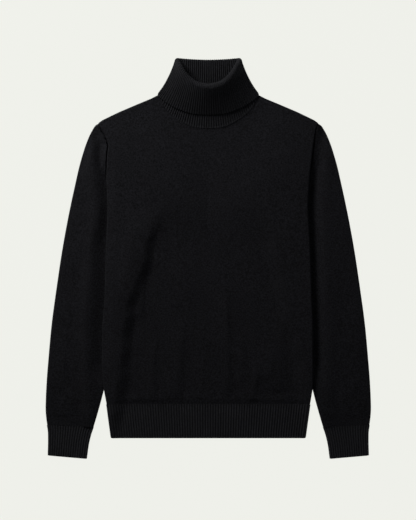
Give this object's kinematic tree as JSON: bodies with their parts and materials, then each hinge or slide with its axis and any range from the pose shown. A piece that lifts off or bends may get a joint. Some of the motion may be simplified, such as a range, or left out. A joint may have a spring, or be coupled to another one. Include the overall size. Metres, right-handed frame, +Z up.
{
  "type": "turtleneck sweater laid flat",
  "caption": "Ribbed-collar turtleneck sweater in plain dark knit, laid flat on its back with both sleeves beside the body and a rolled-over neck",
  "frame": {"origin": "middle of the underside, on the surface the sweater lies on", "axes": "+Y towards the collar, +X to the right seen from the front of the sweater, +Z up from the surface, the way the front faces"},
  "size_m": [0.649, 0.801, 0.042],
  "materials": {
    "plain_knit": "near-black fine-gauge wool knit, soft and matt with a short nap",
    "rib_knit": "near-black one-by-one rib knit, matt"
  },
  "bodies": {
    "root": {"front_panel": "plain_knit", "back_panel": "plain_knit", "sleeve_left": "plain_knit", "sleeve_right": "plain_knit", "hem_front": "rib_knit", "hem_back": "rib_knit", "cuff_left": "rib_knit", "cuff_right": "rib_knit", "collar": "rib_knit"}
  },
  "joints": []
}
